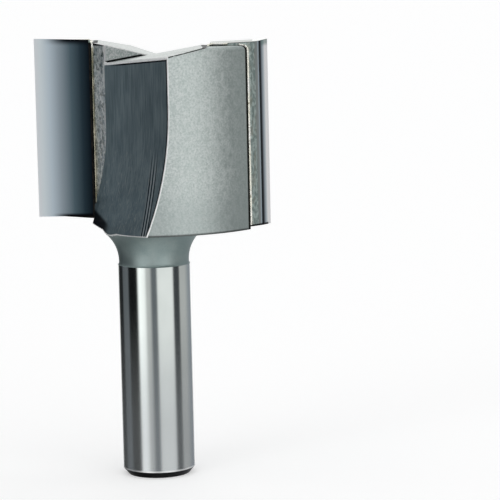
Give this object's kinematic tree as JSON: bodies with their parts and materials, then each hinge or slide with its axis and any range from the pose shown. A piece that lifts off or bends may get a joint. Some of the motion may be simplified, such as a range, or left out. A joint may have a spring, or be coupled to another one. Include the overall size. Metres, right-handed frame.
{
  "type": "router bit",
  "caption": "Straight router bit for plunge and planing cuts: a milled steel head with brazed carbide blades, a flared neck and a plain cylindrical shank.",
  "frame": {"origin": "centre of the flat end of the shank, on the bit's axis", "axes": "+Z along the axis towards the cutting end; the cutting edges lie on +X and -X, and the rake face on +X looks towards +Y"},
  "size_m": [0.0444, 0.0396, 0.0768],
  "materials": {
    "steel": "satin head and neck, ground shank",
    "carbide": "polished faces, ground relief",
    "braze": "pale silver braze"
  },
  "bodies": {
    "root": {"steel_body": "steel", "carbide_blade_a": "carbide", "carbide_blade_b": "carbide", "braze_film_a": "braze", "braze_film_b": "braze"}
  },
  "joints": []
}
